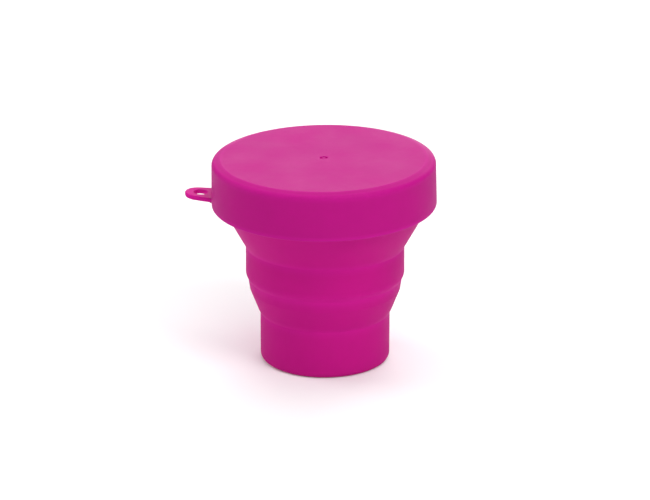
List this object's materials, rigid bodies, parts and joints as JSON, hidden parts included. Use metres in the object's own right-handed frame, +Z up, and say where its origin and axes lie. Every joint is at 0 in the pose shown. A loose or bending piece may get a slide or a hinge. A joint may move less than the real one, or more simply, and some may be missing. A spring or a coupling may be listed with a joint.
{
  "type": "collapsible travel cup",
  "caption": "Collapsible silicone travel cup: stepped bands joined by fold-in cones, with a deep press-on lid that has a small hanging loop.",
  "frame": {"origin": "centre of the cup's foot ring, on the surface that the cup stands on", "axes": "+Z up along the axis of the cup, from the base to the lid; -X towards the hanging loop on the lid"},
  "size_m": [0.09, 0.08, 0.0754],
  "materials": {
    "cup_silicone": "satin",
    "lid_silicone": "satin"
  },
  "bodies": {
    "base": {"base_cup": "cup_silicone"},
    "lower_web": {"lower_fold_web": "cup_silicone"},
    "middle": {"middle_band": "cup_silicone"},
    "upper_web": {"upper_fold_web": "cup_silicone"},
    "rim": {"rim_band": "cup_silicone"},
    "lid": {"lid_cap": "lid_silicone"},
    "loop": {"hang_loop": "lid_silicone"}
  },
  "joints": [
    {"name": "lower_fold", "type": "slide", "parent": "base", "child": "middle", "axis": [0, 0, 1], "range_m": [-0.025, 0], "deforming": ["lower_fold_web"]},
    {"name": "lower_web_shift", "type": "slide", "parent": "base", "child": "lower_web", "axis": [0, 0, 1], "range_m": [-0.0125, 0]},
    {"name": "upper_fold", "type": "slide", "parent": "middle", "child": "rim", "axis": [0, 0, 1], "range_m": [-0.029, 0], "deforming": ["upper_fold_web"]},
    {"name": "upper_web_shift", "type": "slide", "parent": "middle", "child": "upper_web", "axis": [0, 0, 1], "range_m": [-0.0145, 0]},
    {"name": "lid_lift", "type": "slide", "parent": "rim", "child": "lid", "axis": [0, 0, 1], "range_m": [0, 0.04]},
    {"name": "hang_loop_flex", "type": "hinge", "parent": "lid", "child": "loop", "pos_m": [-0.041, 0, 0.0591], "axis": [0, -1, 0], "range_deg": [-60, 60], "stiffness_Nm_per_rad": 0.0002, "deforming": ["hang_loop"]}
  ],
  "couplings": [
    {"joint": "lower_web_shift", "follows": "lower_fold", "ratio": 0.5},
    {"joint": "upper_web_shift", "follows": "upper_fold", "ratio": 0.5}
  ]
}
